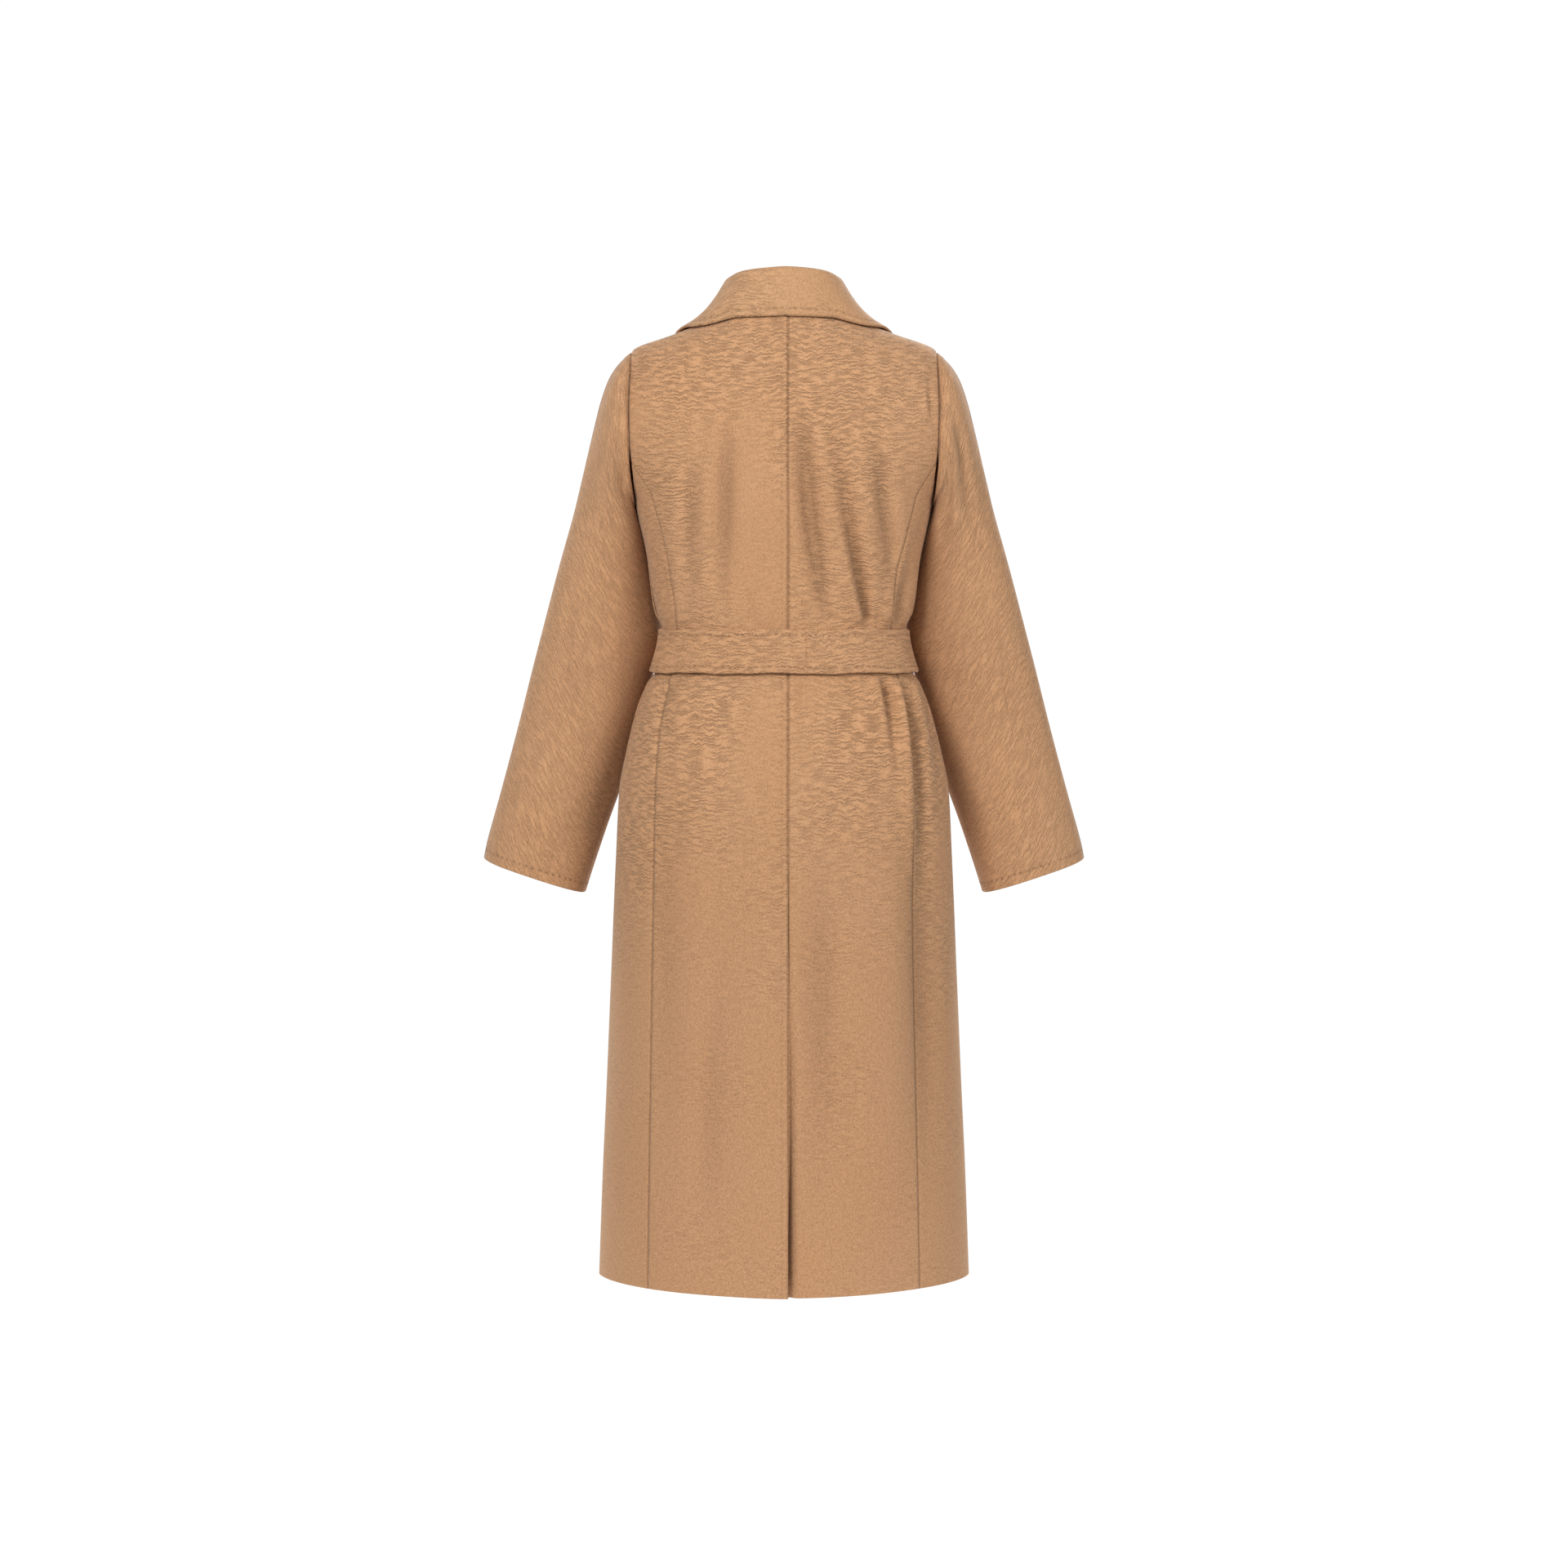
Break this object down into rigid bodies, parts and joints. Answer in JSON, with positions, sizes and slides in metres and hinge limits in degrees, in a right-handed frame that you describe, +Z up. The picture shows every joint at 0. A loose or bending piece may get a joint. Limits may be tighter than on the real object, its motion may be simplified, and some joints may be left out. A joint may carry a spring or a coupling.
{
  "type": "wrap coat",
  "caption": "Long wool wrap coat with a shawl collar, tied belt, set-in sleeves and a centre-back vent, filled out as if worn.",
  "frame": {"origin": "centre of the neck opening, at the height of the collar's seam at the nape, where the wearer's shoulders and neck carry the coat", "axes": "+Z up, the front faces -Y, the wearer's left is +X"},
  "size_m": [0.745, 0.3337, 1.2267],
  "materials": {
    "back_left_upper": "soft brushed wool with a fine ripple",
    "back_left_lower": "soft brushed wool with a fine ripple",
    "back_right_upper": "soft brushed wool with a fine ripple",
    "back_right_lower": "soft brushed wool with a fine ripple",
    "side_back_left_upper": "soft brushed wool with a fine ripple",
    "side_back_left_lower": "soft brushed wool with a fine ripple",
    "side_back_right_upper": "soft brushed wool with a fine ripple",
    "side_back_right_lower": "soft brushed wool with a fine ripple",
    "front_left_upper": "soft brushed wool with a fine ripple",
    "front_left_lower": "soft brushed wool with a fine ripple",
    "front_right_upper": "soft brushed wool with a fine ripple",
    "front_right_lower": "soft brushed wool with a fine ripple",
    "sleeve_left_upper": "soft brushed wool with a fine ripple",
    "sleeve_left_lower": "soft brushed wool with a fine ripple",
    "sleeve_right_upper": "soft brushed wool with a fine ripple",
    "sleeve_right_lower": "soft brushed wool with a fine ripple",
    "collar_neck": "soft brushed wool with a fine ripple",
    "lapel_left": "soft brushed wool with a fine ripple",
    "lapel_right": "soft brushed wool with a fine ripple",
    "vent_underlap": "soft brushed wool with a fine ripple",
    "belt_left": "soft brushed wool with a fine ripple",
    "belt_right": "soft brushed wool with a fine ripple",
    "belt_knot": "soft brushed wool with a fine ripple",
    "belt_end_left": "soft brushed wool with a fine ripple",
    "belt_end_right": "soft brushed wool with a fine ripple"
  },
  "bodies": {
    "root": {"back_left_upper": "back_left_upper", "back_left_lower": "back_left_lower", "back_right_upper": "back_right_upper", "back_right_lower": "back_right_lower", "side_back_left_upper": "side_back_left_upper", "side_back_left_lower": "side_back_left_lower", "side_back_right_upper": "side_back_right_upper", "side_back_right_lower": "side_back_right_lower", "front_left_upper": "front_left_upper", "front_left_lower": "front_left_lower", "front_right_upper": "front_right_upper", "front_right_lower": "front_right_lower", "sleeve_left_upper": "sleeve_left_upper", "sleeve_left_lower": "sleeve_left_lower", "sleeve_right_upper": "sleeve_right_upper", "sleeve_right_lower": "sleeve_right_lower", "collar_neck": "collar_neck", "lapel_left": "lapel_left", "lapel_right": "lapel_right", "vent_underlap": "vent_underlap", "belt_left": "belt_left", "belt_right": "belt_right", "belt_knot": "belt_knot", "belt_end_left": "belt_end_left", "belt_end_right": "belt_end_right"}
  },
  "joints": []
}
